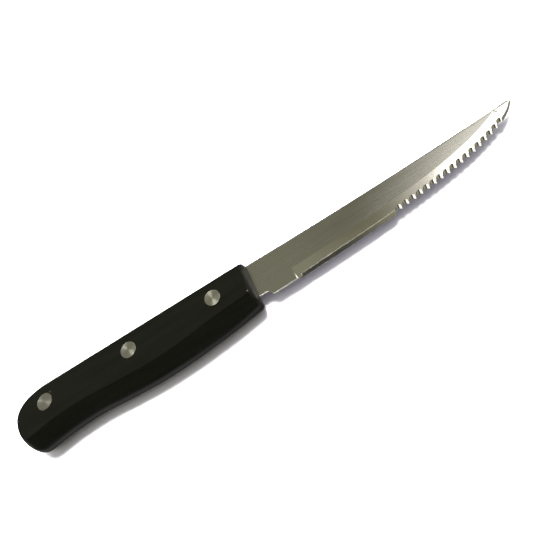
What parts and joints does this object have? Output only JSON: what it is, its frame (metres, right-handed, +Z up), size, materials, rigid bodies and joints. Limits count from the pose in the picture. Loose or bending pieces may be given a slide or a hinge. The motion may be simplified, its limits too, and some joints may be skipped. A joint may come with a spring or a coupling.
{
  "type": "steak knife",
  "caption": "Steak knife with a scalloped, one-side-ground blade and a full-length tang held between two shaped wooden handle scales by flush rivets.",
  "frame": {"origin": "middle of the overall box in plan, on the surface that the handle's lower flat side lies on", "axes": "+X from the butt to the tip, +Y from the edge to the spine, +Z up through the thickness"},
  "size_m": [0.2372, 0.026, 0.0136],
  "materials": {
    "blade_steel": "satin stainless steel, finely ground along the blade, brighter on the scallops",
    "handle_wood": "black-stained resin-filled wood, smooth, low sheen",
    "rivet_steel": "turned and polished flush with the wood"
  },
  "bodies": {
    "root": {"blade": "blade_steel", "upper_scale": "handle_wood", "lower_scale": "handle_wood", "butt_rivet_socket": "rivet_steel", "butt_rivet_stud": "rivet_steel", "middle_rivet_socket": "rivet_steel", "middle_rivet_stud": "rivet_steel", "front_rivet_socket": "rivet_steel", "front_rivet_stud": "rivet_steel"}
  },
  "joints": []
}
